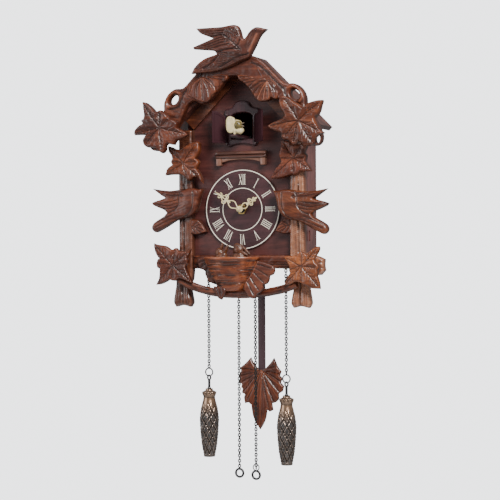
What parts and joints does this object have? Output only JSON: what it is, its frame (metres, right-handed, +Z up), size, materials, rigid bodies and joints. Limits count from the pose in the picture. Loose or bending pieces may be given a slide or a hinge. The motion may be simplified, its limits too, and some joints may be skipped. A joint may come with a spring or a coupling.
{
  "type": "cuckoo clock",
  "caption": "Wall-hung carved cuckoo clock: gabled case with birds, leaves and a nest, Roman dial, doors with a sliding cuckoo, leaf pendulum, chains and pine-cone weights.",
  "frame": {"origin": "on the back panel's wall face, on the clock's centre line, 115 mm above the dial's centre and 11 mm below the keyhole", "axes": "+X to the right of someone facing the dial, +Y into the wall, +Z up"},
  "size_m": [0.244, 0.12, 0.5427],
  "materials": {
    "walnut_board": "dark purple-brown stain under satin lacquer",
    "carved_wood": "reddish-brown stain under glossy lacquer, darker in the cuts",
    "dark_trim": "near-black stain, satin",
    "dial_face": "very dark brown with cream rings and numerals",
    "ivory": "cream plastic",
    "brass": "plain turned brass",
    "steel": "dark nickel plating",
    "bronze": "dark bronze paint rubbed back on the high points",
    "black_plastic": "moulded black plastic",
    "battery_wrap": "plain printed sleeve with no markings"
  },
  "bodies": {
    "case": {"facade": "walnut_board", "side_panel_left": "walnut_board", "side_panel_right": "walnut_board", "bottom_panel": "walnut_board", "back_panel": "walnut_board", "roof_left": "walnut_board", "roof_right": "walnut_board", "roof_batten_left": "carved_wood", "roof_batten_right": "carved_wood", "roof_carving": "carved_wood", "top_bird": "carved_wood", "roof_leaf_left": "carved_wood", "roof_leaf_right": "carved_wood", "post_left": "carved_wood", "post_right": "carved_wood", "post_leaf_left": "carved_wood", "post_leaf_right": "carved_wood", "side_bird_left": "carved_wood", "side_bird_right": "carved_wood", "corner_leaf_left": "carved_wood", "corner_leaf_right": "carved_wood", "bottom_rail": "carved_wood", "branch": "carved_wood", "nest": "carved_wood", "nest_leaf_left": "carved_wood", "nest_leaf_right": "carved_wood", "door_surround": "dark_trim", "ledge": "carved_wood", "dial": "dial_face", "movement_case": "black_plastic", "movement_cover": "black_plastic", "battery": "battery_wrap", "movement_nut": "brass", "cuckoo_module": "black_plastic", "speaker": "black_plastic", "pendulum_drive": "black_plastic"},
    "back_door": {"back_door": "walnut_board"},
    "minute": {"minute_hand": "ivory", "hand_nut": "brass", "minute_arbor": "brass"},
    "hour": {"hour_hand": "ivory", "hour_wheel": "brass"},
    "motion": {"motion_wheel": "brass", "set_knob": "black_plastic"},
    "bird": {"bird_carriage": "dark_trim", "cuckoo": "ivory"},
    "door_left": {"door_left": "dark_trim"},
    "door_right": {"door_right": "dark_trim"},
    "bird_drive": {"drive_pinion": "brass"},
    "pendulum": {"pendulum_rod": "dark_trim", "pendulum_leaf": "carved_wood"},
    "weight_chain_left": {"weight_chain_left": "steel"},
    "weight_left": {"weight_left": "bronze"},
    "weight_chain_right": {"weight_chain_right": "steel"},
    "weight_right": {"weight_right": "bronze"},
    "pull_chain_left": {"pull_chain_left": "steel"},
    "pull_ring_left": {"pull_ring_left": "steel"},
    "pull_chain_right": {"pull_chain_right": "steel"},
    "pull_ring_right": {"pull_ring_right": "steel"}
  },
  "joints": [
    {"name": "minute_hand_turn", "type": "hinge", "parent": "case", "child": "minute", "pos_m": [0, -0.091, -0.115], "axis": [0, 1, 0], "continuous": true},
    {"name": "hour_hand_turn", "type": "hinge", "parent": "case", "child": "hour", "pos_m": [0, -0.088, -0.115], "axis": [0, 1, 0], "continuous": true},
    {"name": "motion_wheel_turn", "type": "hinge", "parent": "case", "child": "motion", "pos_m": [0.01, -0.064, -0.115], "axis": [0, 1, 0], "continuous": true},
    {"name": "cuckoo_slide", "type": "slide", "parent": "case", "child": "bird", "axis": [0, 1, 0], "range_m": [0, 0.036]},
    {"name": "bird_drive_turn", "type": "hinge", "parent": "case", "child": "bird_drive", "pos_m": [0, -0.062, -0.0343], "axis": [1, 0, 0], "range_deg": [-430, 0]},
    {"name": "door_left_swing", "type": "hinge", "parent": "case", "child": "door_left", "pos_m": [-0.0185, -0.0836, -0.019], "axis": [0, 0, 1], "range_deg": [0, 140]},
    {"name": "door_right_swing", "type": "hinge", "parent": "case", "child": "door_right", "pos_m": [0.0185, -0.0836, -0.019], "axis": [0, 0, 1], "range_deg": [-140, 0]},
    {"name": "back_door_swing", "type": "hinge", "parent": "case", "child": "back_door", "pos_m": [-0.0385, -0.003, -0.1], "axis": [0, 0, 1], "range_deg": [0, 100]},
    {"name": "pendulum_swing", "type": "hinge", "parent": "case", "child": "pendulum", "pos_m": [0, -0.02, -0.095], "axis": [0, 1, 0], "range_deg": [-6, 6]},
    {"name": "weight_chain_left_swing", "type": "hinge", "parent": "case", "child": "weight_chain_left", "pos_m": [-0.0505, -0.067, -0.1866], "axis": [1, 0, 0], "range_deg": [-6, 6]},
    {"name": "weight_left_swing", "type": "hinge", "parent": "weight_chain_left", "child": "weight_left", "pos_m": [-0.0505, -0.067, -0.3125], "axis": [1, 0, 0], "range_deg": [-10, 10]},
    {"name": "weight_chain_right_swing", "type": "hinge", "parent": "case", "child": "weight_chain_right", "pos_m": [0.0505, -0.067, -0.1866], "axis": [1, 0, 0], "range_deg": [-6, 6]},
    {"name": "weight_right_swing", "type": "hinge", "parent": "weight_chain_right", "child": "weight_right", "pos_m": [0.0505, -0.067, -0.318], "axis": [1, 0, 0], "range_deg": [-10, 10]},
    {"name": "pull_chain_left_swing", "type": "hinge", "parent": "case", "child": "pull_chain_left", "pos_m": [-0.0108, -0.067, -0.1866], "axis": [1, 0, 0], "range_deg": [-6, 6]},
    {"name": "pull_ring_left_swing", "type": "hinge", "parent": "pull_chain_left", "child": "pull_ring_left", "pos_m": [-0.0108, -0.067, -0.427], "axis": [1, 0, 0], "range_deg": [-30, 30]},
    {"name": "pull_chain_right_swing", "type": "hinge", "parent": "case", "child": "pull_chain_right", "pos_m": [0.0108, -0.067, -0.1866], "axis": [1, 0, 0], "range_deg": [-6, 6]},
    {"name": "pull_ring_right_swing", "type": "hinge", "parent": "pull_chain_right", "child": "pull_ring_right", "pos_m": [0.0108, -0.067, -0.428], "axis": [1, 0, 0], "range_deg": [-30, 30]}
  ],
  "couplings": [
    {"joint": "hour_hand_turn", "follows": "minute_hand_turn", "ratio": 0.083333},
    {"joint": "motion_wheel_turn", "follows": "minute_hand_turn", "ratio": -0.33333},
    {"joint": "bird_drive_turn", "follows": "cuckoo_slide", "rad_per_m": -208.33},
    {"joint": "door_left_swing", "follows": "cuckoo_slide", "rad_per_m": 67.873},
    {"joint": "door_right_swing", "follows": "cuckoo_slide", "rad_per_m": -67.873}
  ]
}
